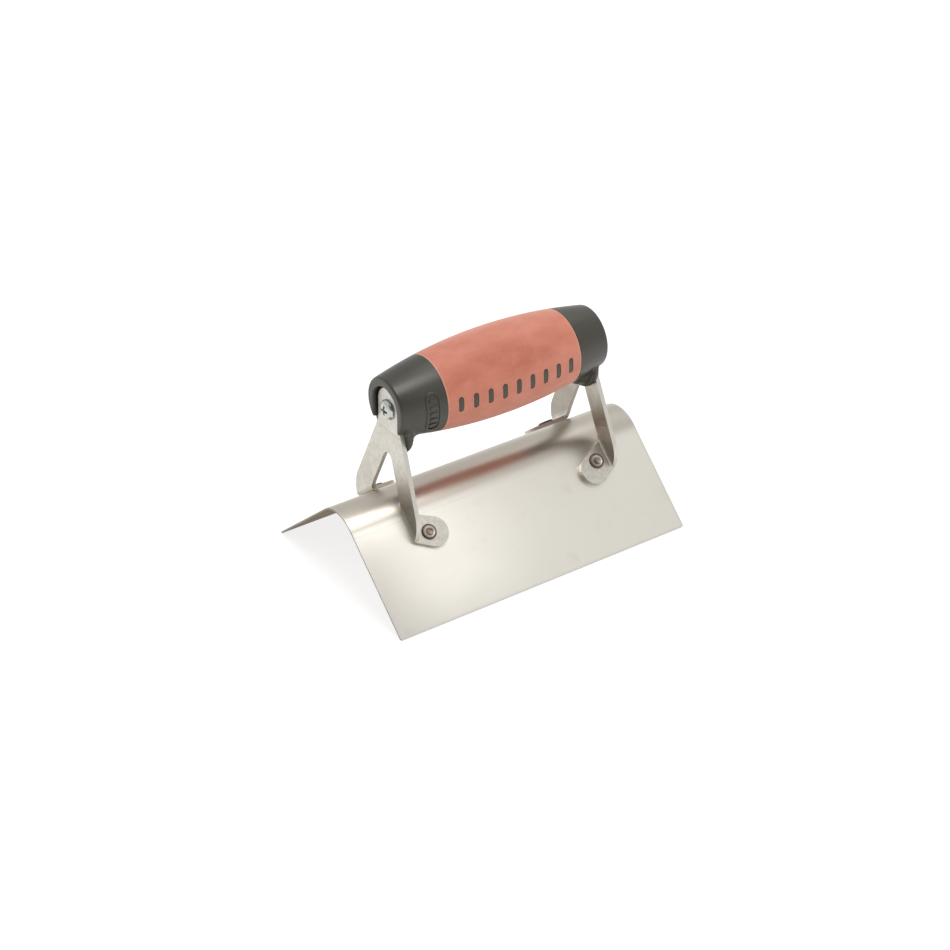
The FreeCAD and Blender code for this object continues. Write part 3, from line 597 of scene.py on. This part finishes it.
def make_blade(finish, under_finish, edge_finish):
    """A strip bent over a round ridge, then given its thickness and its rounded corners."""
    bm = bmesh.new()
    half = (blade_high.x - blade_low.x) / 2
    bend_middle = Vector((-half, 0, blade_high.z - RIDGE_RADIUS))
    arm = Matrix.Rotation(-SIDE_SLOPE, 3, "X") @ Vector((0, 0, RIDGE_RADIUS))
    start = bm.verts.new(bend_middle + arm)
    bend = bmesh.ops.spin(
        bm,
        geom=[start],
        cent=bend_middle,
        axis=AXIS_X,
        angle=2 * SIDE_SLOPE,
        steps=BEND_STEPS,
    )
    ends = (start, bend["geom_last"][0])
    for end in ends:
        side = 1 if end.co.y > 0 else -1
        grown = bmesh.ops.extrude_vert_indiv(bm, verts=[end])["verts"]
        run = Vector((0, side * math.cos(SIDE_SLOPE), -math.sin(SIDE_SLOPE))) * blade_flat()
        bmesh.ops.translate(bm, verts=grown, vec=run)
    grown = bmesh.ops.extrude_edge_only(bm, edges=bm.edges[:])["geom"]
    far_end = [item for item in grown if isinstance(item, bmesh.types.BMVert)]
    bmesh.ops.translate(bm, verts=far_end, vec=AXIS_X * 2 * half)
    bmesh.ops.recalc_face_normals(bm, faces=bm.faces)
    if sum(face.normal.z for face in bm.faces) < 0:
        bmesh.ops.reverse_faces(bm, faces=bm.faces)
    bmesh.ops.solidify(bm, geom=bm.faces[:], thickness=BLADE_SHEET)
    corners = []
    for edge in sharp_edges(bm, SHEET_CORNER):
        outermost = min(abs(vert.co.y) for vert in edge.verts) > 0.9 * blade_high.y
        if outermost and edge.calc_length() < 1.5 * BLADE_SHEET:
            corners.append(edge)
    round_off(bm, corners, BLADE_CORNER, CORNER_STEPS)
    round_off(bm, sharp_edges(bm, SHEET_CORNER), BLADE_EDGE_ROUND)
    slope = Vector((0, math.sin(SIDE_SLOPE), math.cos(SIDE_SLOPE)))
    for face in bm.faces:
        outward = Vector((0, math.copysign(slope.y, face.calc_center_median().y), slope.z))
        rise = face.normal.dot(outward)
        if abs(face.normal.x) > FACING or abs(rise) < FACING:
            face.material_index = 2
        elif rise < 0:
            face.material_index = 1
    finishes = [finish, under_finish, edge_finish]
    return close_piece(bm, "blade_sheet", ["blade"], finishes, sharp_angle=25)


def make_bracket(side, faces_finish, edge_finish):
    """The stamped bracket, its cut edges rounded and given their own finish."""
    bm = merged_copy(f"{side}_bracket")
    bmesh.ops.dissolve_limit(
        bm,
        angle_limit=math.radians(LEVEL_WITHIN),
        use_dissolve_boundaries=False,
        verts=bm.verts,
        edges=bm.edges,
        delimit={"NORMAL"},
    )
    for face in bm.faces:
        middle = face.calc_center_median()
        out = abs(middle.y) - blade_high.y
        lift = out * math.sin(SIDE_SLOPE) + (middle.z - EDGE_HEIGHT) * math.cos(SIDE_SLOPE)
        normal = Vector((0, math.copysign(math.sin(SIDE_SLOPE), middle.y), math.cos(SIDE_SLOPE)))
        flatness = abs(face.normal.x)
        if lift < FOOT_REACH:
            flatness = max(flatness, abs(face.normal.dot(normal)))
        face.material_index = 0 if flatness > FACING else 1
    round_off(bm, sharp_edges(bm, STAMPED_CORNER), STAMPED_EDGE_ROUND)
    finishes = [faces_finish, edge_finish]
    name = f"{side}_bracket_stamping"
    piece = close_piece(bm, name, [f"{side}_bracket"], finishes, sharp_angle=12)
    piece.modifiers.new("flat_faces", "WEIGHTED_NORMAL").keep_sharp = True
    return piece


def dress_stud(node, finish):
    """A stud's own shape, with each point's distance from its axis for the heat tint and the painted
    shade.
    """
    bm = merged_copy(node)
    side = 1 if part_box(node)[0].y > 0 else -1
    axis = Vector((0, side * math.sin(SIDE_SLOPE), math.cos(SIDE_SLOPE)))
    lowest = min(vert.co.dot(axis) for vert in bm.verts)
    base = [vert.co for vert in bm.verts if vert.co.dot(axis) < lowest + TOUCH_REACH]
    middle = (Vector(map(min, zip(*base))) + Vector(map(max, zip(*base)))) / 2
    layer = bm.verts.layers.float.new("from_middle")
    reach = max((vert.co - middle - axis * (vert.co - middle).dot(axis)).length for vert in bm.verts)
    for vert in bm.verts:
        arm = vert.co - middle
        vert[layer] = (arm - axis * arm.dot(axis)).length / reach
    return close_piece(bm, f"{node}_head", [node], [finish], sharp_angle=30)


def bare_piece(bm):
    """A helper object for a modifier to work on."""
    mesh = bpy.data.meshes.new("helper")
    bm.to_mesh(mesh)
    bm.free()
    helper = bpy.data.objects.new("helper", mesh)
    bpy.context.scene.collection.objects.link(helper)
    return helper


def worked(bm, kind, **settings):
    """A bmesh after one modifier."""
    helper = bare_piece(bm)
    modifier = helper.modifiers.new(kind.lower(), kind)
    for name, value in settings.items():
        setattr(modifier, name, value)
    bpy.context.view_layer.update()
    graph = bpy.context.evaluated_depsgraph_get()
    result = bmesh.new()
    result.from_mesh(helper.evaluated_get(graph).to_mesh())
    bpy.data.meshes.remove(helper.data)
    return result


def carved(bm, cutter):
    """A closed bmesh with another one cut out of it."""
    tool = bare_piece(cutter)
    result = worked(bm, "BOOLEAN", operation="DIFFERENCE", solver="EXACT", object=tool)
    bpy.data.meshes.remove(tool.data)
    return result


def joined(*parts):
    """Several bmeshes in one."""
    whole = bmesh.new()
    for part in parts:
        mesh = bpy.data.meshes.new("part")
        part.to_mesh(mesh)
        part.free()
        whole.from_mesh(mesh)
        bpy.data.meshes.remove(mesh)
    return whole


def turned(profile, place, height, facets):
    """A solid turned about a line along X. The profile's points are (reach along the line, radius)."""
    bm = bmesh.new()
    verts = [bm.verts.new((place + reach, 0, height + radius)) for reach, radius in profile]
    edges = [bm.edges.new(pair) for pair in zip(verts, verts[1:])]
    bmesh.ops.spin(
        bm,
        geom=verts + edges,
        cent=Vector((place, 0, height)),
        axis=AXIS_X,
        angle=math.tau,
        steps=facets,
        use_merge=True,
    )
    bmesh.ops.remove_doubles(bm, verts=bm.verts, dist=MERGE_REACH)
    bmesh.ops.recalc_face_normals(bm, faces=bm.faces)
    return bm


def rounded(start, corner, end, steps=5):
    """Points of a round corner from start to end, as a curve pulled towards the corner."""
    points = []
    ends = (start, corner, end)
    for step in range(steps + 1):
        share = step / steps
        weights = ((1 - share) ** 2, 2 * share * (1 - share), share**2)
        pulled = sum((weight * Vector(point) for weight, point in zip(weights, ends)), Vector((0, 0)))
        points.append(pulled[:])
    return points


def barrel_radius(place, lift=0.0):
    """Radius of the handle's outer surface at a place along X, or of one lifted off it."""
    return MIDDLE_RADIUS - BARREL_ARC + math.sqrt((BARREL_ARC + lift) ** 2 - (place - BELLY_PLACE) ** 2)


def barrel_stretch(start, end, lift=0.0):
    """Points along the barrel between two places."""
    places = [start + (end - start) * step / BARREL_STEPS for step in range(BARREL_STEPS + 1)]
    return [(place - HANDLE_PLACE, barrel_radius(place, lift)) for place in places]


def handle_profile():
    """Half section of the hard moulding, before its waist is cut."""
    left = HANDLE_PLACE - HANDLE_HALF
    right = HANDLE_PLACE + HANDLE_HALF
    left_radius = barrel_radius(left + RIM_REACH)
    right_radius = barrel_radius(right - RIM_REACH)
    left_rim = [(-HANDLE_HALF, left_radius - RIM_DROP), (-HANDLE_HALF, left_radius)]
    left_rim.append((RIM_REACH - HANDLE_HALF, left_radius))
    right_rim = [(HANDLE_HALF - RIM_REACH, right_radius), (HANDLE_HALF, right_radius)]
    right_rim.append((HANDLE_HALF, right_radius - RIM_DROP))
    points = [(-HANDLE_HALF, 0)]
    points += rounded(*left_rim)
    points += barrel_stretch(left + RIM_REACH, right - RIM_REACH)[1:]
    points += rounded(*right_rim)[1:]
    points.append((HANDLE_HALF, 0))
    return points


def rounded_disc(side, drop, radius, start, length, rounding):
    """A disc under one end of the handle, its axis along X, round at its inner rim."""
    inner = start - length
    points = [(side * start, 0), (side * start, radius)]
    rim = [(side * (inner + rounding), radius), (side * inner, radius), (side * inner, radius - rounding)]
    points += rounded(*rim, DISC_RIM_STEPS)
    points.append((side * inner, 0))
    return turned(points, HANDLE_PLACE, HANDLE_HEIGHT - drop, DISC_FACETS)


def recess_cutter(side):
    """An arch with long legs, from the seat of the bracket out past the end of the handle."""
    bm = bmesh.new()
    place = HANDLE_PLACE + side * SEAT
    start = bm.verts.new((place, RECESS_RADIUS, HANDLE_HEIGHT))
    arch = bmesh.ops.spin(
        bm,
        geom=[start],
        cent=Vector((place, 0, HANDLE_HEIGHT)),
        axis=AXIS_X,
        angle=math.pi,
        steps=RECESS_STEPS,
    )
    for end in (start, arch["geom_last"][0]):
        foot = bmesh.ops.extrude_vert_indiv(bm, verts=[end])["verts"]
        bmesh.ops.translate(bm, verts=foot, vec=-AXIS_Z * 3 * RECESS_RADIUS)
    bmesh.ops.contextual_create(bm, geom=bm.edges[:])
    grown = bmesh.ops.extrude_face_region(bm, geom=bm.faces[:])["geom"]
    verts = [item for item in grown if isinstance(item, bmesh.types.BMVert)]
    bmesh.ops.translate(bm, verts=verts, vec=AXIS_X * side * 2 * RECESS_DEPTH)
    bmesh.ops.recalc_face_normals(bm, faces=bm.faces)
    return bm


def pilot_cutter(side):
    """The screw's bore, from outside the seat into the barrel."""
    bore = [(0, 0), (0, PILOT_RADIUS), (-side * PILOT_DEPTH, PILOT_RADIUS), (-side * PILOT_DEPTH, 0)]
    outside = HANDLE_PLACE + side * (SEAT + RECESS_DEPTH / 2)
    return turned(bore, outside, SCREW_HEIGHT, PILOT_FACETS)


def waist_cutter():
    """The ring of space that the sleeve fills."""
    left = BELLY_PLACE - GRIP_HALF
    right = BELLY_PLACE + GRIP_HALF
    outer = barrel_stretch(left, right, GRIP_WALL)
    inner = barrel_stretch(right, left, -GRIP_WALL - BOND_GAP)
    return turned([*outer, *inner, outer[0]], HANDLE_PLACE, HANDLE_HEIGHT, BARREL_FACETS)


def soften(bm, verts, passes):
    """Smooth vertices towards their neighbours."""
    for _ in range(passes):
        bmesh.ops.smooth_vert(
            bm, verts=verts, factor=0.5, use_axis_x=True, use_axis_y=True, use_axis_z=True
        )


def near_blend(point, width):
    """Whether a point lies within a width of the crease where a boss runs into the barrel."""
    across = Vector((0, point.y, point.z - HANDLE_HEIGHT))
    boss = Vector((0, point.y, point.z - HANDLE_HEIGHT + BOSS_DROP))
    reach = abs(point.x - HANDLE_PLACE)
    on_barrel = abs(across.length - barrel_radius(point.x)) < width
    by_boss = boss.length < BOSS_RADIUS + width
    inside = SEAT - LUG_THICKNESS - BOSS_DEPTH - width < reach < SEAT - LUG_THICKNESS
    return on_barrel and by_boss and inside and point.z < HANDLE_HEIGHT - BOSS_DROP / 2


def lay_on_barrel(bm):
    """Bend a flat pattern round the front of the barrel. It is drawn in XZ, with its height towards -Y."""
    for vert in bm.verts:
        radius = barrel_radius(vert.co.x, -vert.co.y)
        vert.co.y = -math.sqrt(radius**2 - (vert.co.z - HANDLE_HEIGHT) ** 2)


def slot_face(bm, place, height, width, length):
    """An upright flat slot with round ends."""
    circle = bmesh.ops.create_circle(bm, cap_ends=True, radius=width / 2, segments=SLOT_FACETS)
    ring = circle["verts"]
    bmesh.ops.rotate(bm, verts=ring, cent=Vector(), matrix=Matrix.Rotation(math.pi / 2, 3, "X"))
    for vert in ring:
        vert.co.z += math.copysign((length - width) / 2, vert.co.z)
    bmesh.ops.translate(bm, verts=ring, vec=Vector((place, 0, height)))
    return ring[0].link_faces[0]


def raise_pattern(bm, low, high):
    """Give a flat pattern its height, round its upper rim, and cut it into strips that can bend."""
    bmesh.ops.translate(bm, verts=bm.verts, vec=-AXIS_Y * low)
    grown = bmesh.ops.extrude_face_region(bm, geom=bm.faces[:])["geom"]
    upper = [item for item in grown if isinstance(item, bmesh.types.BMVert)]
    bmesh.ops.translate(bm, verts=upper, vec=-AXIS_Y * (high - low))
    bmesh.ops.recalc_face_normals(bm, faces=bm.faces)
    rim = []
    for edge in sharp_edges(bm, SHEET_CORNER):
        if all(abs(vert.co.y + high) < TOUCH_REACH for vert in edge.verts):
            rim.append(edge)
    round_off(bm, rim, RAISED_EDGE_ROUND)
    lowest = min(vert.co.z for vert in bm.verts)
    highest = max(vert.co.z for vert in bm.verts)
    for step in range(1, round((highest - lowest) / STRIP_PITCH)):
        bmesh.ops.bisect_plane(
            bm,
            geom=bm.verts[:] + bm.edges[:] + bm.faces[:],
            dist=CUT_REACH,
            plane_co=AXIS_Z * (lowest + step * STRIP_PITCH),
            plane_no=AXIS_Z,
        )
    lay_on_barrel(bm)


def make_bars():
    """The bars of hard moulding that stand in the sleeve's windows."""
    bm = bmesh.new()
    pitch = 2 * (GRIP_HALF - BAR_MARGIN) / (BAR_COUNT - 1)
    for index in range(BAR_COUNT):
        place = BELLY_PLACE + (index - (BAR_COUNT - 1) / 2) * pitch
        slot_face(bm, place, HANDLE_HEIGHT + BAR_LIFT, BAR_WIDTH, BAR_HEIGHT)
    raise_pattern(bm, -GRIP_WALL - BADGE_RELIEF, -BAR_DEPTH)
    return bm


def make_badge():
    """A low oval rim with short plain ribs in it."""
    bm = bmesh.new()
    place = HANDLE_PLACE - HANDLE_HALF + BADGE_INSET
    face = slot_face(bm, place, HANDLE_HEIGHT, BADGE_WIDTH, BADGE_HEIGHT)
    bmesh.ops.inset_region(
        bm, faces=[face], thickness=BADGE_RIM, use_boundary=True, use_even_offset=True
    )
    bmesh.ops.delete(bm, geom=[face], context="FACES_ONLY")
    for index in range(BADGE_RIB_COUNT):
        height = HANDLE_HEIGHT + (index - (BADGE_RIB_COUNT - 1) / 2) * BADGE_RIB_PITCH
        size = Matrix.Diagonal((BADGE_RIB_WIDTH, BADGE_RIB_HEIGHT, 1, 1))
        turn = Matrix.Translation((place, 0, height)) @ Matrix.Rotation(math.pi / 2, 4, "X") @ size
        bmesh.ops.create_grid(bm, x_segments=1, y_segments=1, size=0.5, matrix=turn)
    raise_pattern(bm, -BADGE_RELIEF, BADGE_RELIEF)
    return bm


def make_handle_core(finish):
    """The hard moulding: its lugs and bosses run into the barrel with soft hollows."""
    barrel = turned(handle_profile(), HANDLE_PLACE, HANDLE_HEIGHT, BARREL_FACETS)
    shells = []
    for side in (-1, 1):
        barrel = carved(carved(barrel, recess_cutter(side)), pilot_cutter(side))
        lug = rounded_disc(side, LUG_DROP, LUG_RADIUS, SEAT, LUG_THICKNESS, LUG_ROUND)
        boss_start = SEAT - LUG_THICKNESS / 2
        boss = rounded_disc(side, BOSS_DROP, BOSS_RADIUS, boss_start, BOSS_LENGTH, BOSS_ROUND)
        shells += [carved(lug, pilot_cutter(side)), carved(boss, pilot_cutter(side))]
    bm = worked(joined(barrel, *shells), "REMESH", mode="VOXEL", voxel_size=CORE_VOXEL)
    soften(bm, bm.verts, SKIN_PASSES)
    for step in range(BLEND_STEPS):
        width = BLEND_REACH * (1 - step / BLEND_STEPS)
        soften(bm, [vert for vert in bm.verts if near_blend(vert.co, width)], BLEND_PASSES)
    bm = carved(bm, waist_cutter())
    bm = joined(bm, make_bars(), make_badge())
    return close_piece(bm, "handle_moulding", ["handle_core"], [finish], sharp_angle=50)


def cross_arm(top, away, upright):
    """One arm of the cross, which narrows towards its bottom."""
    bm = bmesh.new()
    across, up = (CROSS_WIDTH, CROSS_SPAN) if upright else (CROSS_SPAN, CROSS_WIDTH)
    middle = Matrix.Translation((top, 0, SCREW_HEIGHT))
    size = Matrix.Diagonal((2 * CROSS_DEPTH, across, up, 1))
    bmesh.ops.create_cube(bm, size=1, matrix=middle @ size)
    bottom = [vert for vert in bm.verts if away * (vert.co.x - top) < 0]
    narrowing = Vector((1, CROSS_TAPER, CROSS_TAPER))
    bmesh.ops.scale(bm, verts=bottom, vec=narrowing, space=middle.inverted())
    return bm


def make_thread(place, away):
    """A sharp ridge wound along the shank."""
    bm = bmesh.new()
    foot = SCREW_RADIUS - THREAD_DEPTH - THREAD_SINK
    points = [(0, foot), (THREAD_PITCH / 2, SCREW_RADIUS), (THREAD_PITCH, foot)]
    start = place - away * (SCREW_LENGTH - SCREW_TIP - THREAD_PITCH)
    verts = [bm.verts.new((start + reach, 0, SCREW_HEIGHT + radius)) for reach, radius in points]
    face = bm.faces.new(verts)
    turns = int((SCREW_LENGTH - SCREW_TIP - 2 * BRACKET_SHEET) / THREAD_PITCH)
    bmesh.ops.spin(
        bm,
        geom=[face, *face.edges, *verts],
        cent=Vector((start, 0, SCREW_HEIGHT)),
        axis=AXIS_X,
        dvec=AXIS_X * away * THREAD_PITCH / THREAD_STEPS,
        angle=math.tau * turns,
        steps=THREAD_STEPS * turns,
    )
    bmesh.ops.recalc_face_normals(bm, faces=bm.faces)
    return bm


def make_screw(side, away, finish):
    """A pan-head screw: domed head with a cross, threaded shank and point."""
    place = HANDLE_PLACE + away * TANG_FACE
    root = SCREW_RADIUS - THREAD_DEPTH
    points = [(-SCREW_LENGTH, 0), (SCREW_TIP - SCREW_LENGTH, root), (0, root)]
    points += [(0, SCREW_HEAD_RADIUS - SCREW_HEAD_LIP), (SCREW_HEAD_LIP, SCREW_HEAD_RADIUS)]
    dome_start = (SCREW_HEAD_SIDE, SCREW_HEAD_RADIUS)
    dome_corner = (SCREW_HEAD_HEIGHT, SCREW_HEAD_RADIUS * SCREW_DOME_SHARE)
    points += rounded(dome_start, dome_corner, (SCREW_HEAD_HEIGHT, 0), SCREW_DOME_STEPS)
    profile = [(away * reach, radius) for reach, radius in points]
    screw = turned(profile, place, SCREW_HEIGHT, SCREW_FACETS)
    top = place + away * SCREW_HEAD_HEIGHT
    for upright in (False, True):
        screw = carved(screw, cross_arm(top, away, upright))
    bm = joined(screw, make_thread(place, away))
    name = f"{side}_pan_screw"
    return close_piece(bm, name, [f"{side}_screw"], [finish], sharp_angle=40)


def paint_node(node, finish):
    """A CAD node whose shape is right gets its finish."""
    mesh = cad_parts[node].data
    mesh.materials.clear()
    mesh.materials.append(finish)


# ---------------------------------------------------------------- stage


def make_floor():
    """A wide pale floor with a glow of its own, so that shadows on it stay faint."""
    bm = bmesh.new()
    bmesh.ops.create_grid(bm, x_segments=1, y_segments=1, size=FLOOR_HALF)
    mesh = bpy.data.meshes.new("floor")
    bm.to_mesh(mesh)
    bm.free()
    finish = Finish(
        "floor_white",
        Roughness=0.9,
        Base_Color=FLOOR_SHADE,
        Emission_Color=WHITE,
        Emission_Strength=FLOOR_GLOW,
        Specular_IOR_Level=0.0,
    )
    mesh.materials.append(finish.material)
    floor = bpy.data.objects.new("floor", mesh)
    bpy.context.scene.collection.objects.link(floor)


def make_light(name, place, target, size, power):
    """A square soft box turned towards a target."""
    light = bpy.data.lights.new(name, "AREA")
    light.size = size
    light.energy = power
    lamp = bpy.data.objects.new(name, light)
    lamp.location = place
    lamp.rotation_mode = "QUATERNION"
    lamp.rotation_quaternion = (Vector(target) - Vector(place)).to_track_quat("-Z", "Y")
    bpy.context.scene.collection.objects.link(lamp)


def make_lights():
    """A pale room with one dark side, two soft boxes above and a small one in front."""
    middle = (cad_low + cad_high) / 2
    top_place = middle + Vector((-0.06, -0.22, 0.97))
    back_place = middle + Vector((0.45, 0.25, 0.85))
    right_place = Vector((0.09, -0.32, 0.34))
    lower_left_corner = Vector((-0.07, -0.06, 0.01))
    make_light("top_box", top_place, middle, size=0.42, power=3.7)
    make_light("back_box", back_place, middle, size=0.4, power=1.3)
    make_light("right_box", right_place, lower_left_corner, size=0.12, power=0.055)
    world = bpy.data.worlds.new("studio")
    world.use_nodes = True
    nodes = world.node_tree.nodes
    links = world.node_tree.links
    background = nodes["Background"]
    direction = nodes.new("ShaderNodeTexCoord").outputs["Generated"]
    toward = nodes.new("ShaderNodeVectorMath")
    toward.operation = "DOT_PRODUCT"
    toward.inputs[1].default_value = DARK_SIDE.normalized()
    links.new(direction, toward.inputs[0])
    ramp = nodes.new("ShaderNodeValToRGB")
    ramp.color_ramp.interpolation = "EASE"
    pale_stop, dark_stop = ramp.color_ramp.elements
    pale_stop.position = DARK_START
    pale_stop.color = ROOM_PALE
    dark_stop.position = DARK_FULL
    dark_stop.color = ROOM_DARK
    links.new(toward.outputs["Value"], ramp.inputs["Fac"])
    links.new(ramp.outputs["Color"], background.inputs["Color"])
    background.inputs["Strength"].default_value = ROOM_STRENGTH
    bpy.context.scene.world = world


def make_camera():
    """Above and to the left of the front, turned slightly about its own axis."""
    azimuth = math.radians(-35.19)
    elevation = math.radians(33.23)
    roll = math.radians(0.55)
    distance = 1148.03 * MM
    target = Vector((4.65 * MM, 12.94 * MM, 20.83 * MM))
    back = Vector(
        (
            math.sin(azimuth) * math.cos(elevation),
            -math.cos(azimuth) * math.cos(elevation),
            math.sin(elevation),
        )
    )
    right = Vector((math.cos(azimuth), math.sin(azimuth), 0))
    up = back.cross(right)
    rolled_right = right * math.cos(roll) + up * math.sin(roll)
    rolled_up = up * math.cos(roll) - right * math.sin(roll)
    lens = bpy.data.cameras.new("camera")
    lens.lens = 96.9
    lens.sensor_width = 36
    lens.clip_start = 0.05
    camera = bpy.data.objects.new("camera", lens)
    turn = Matrix((rolled_right, rolled_up, back)).transposed()
    camera.matrix_world = Matrix.Translation(target + back * distance) @ turn.to_4x4()
    bpy.context.scene.collection.objects.link(camera)
    bpy.context.scene.camera = camera


def build():
    """Every piece with its finish, then the room and the camera."""
    blade = blade_steel()
    stamping = bracket_steel()
    sheared = sheared_steel()
    stud = stud_steel()
    zinc = bright_zinc()
    plastic = moulded_plastic()
    grip = soft_grip()
    make_blade(blade, blade_underside(), blade_rim())
    for side in ("left", "right"):
        make_bracket(side, stamping, sheared)
        make_screw(side, -1 if side == "left" else 1, zinc)
        for face in ("front", "back"):
            dress_stud(f"{side}_{face}_stud", stud)
    make_handle_core(plastic)
    paint_node("grip_sleeve", grip)
    make_floor()
    make_lights()
    make_camera()
    bpy.context.scene.view_settings.view_transform = "Standard"


build()
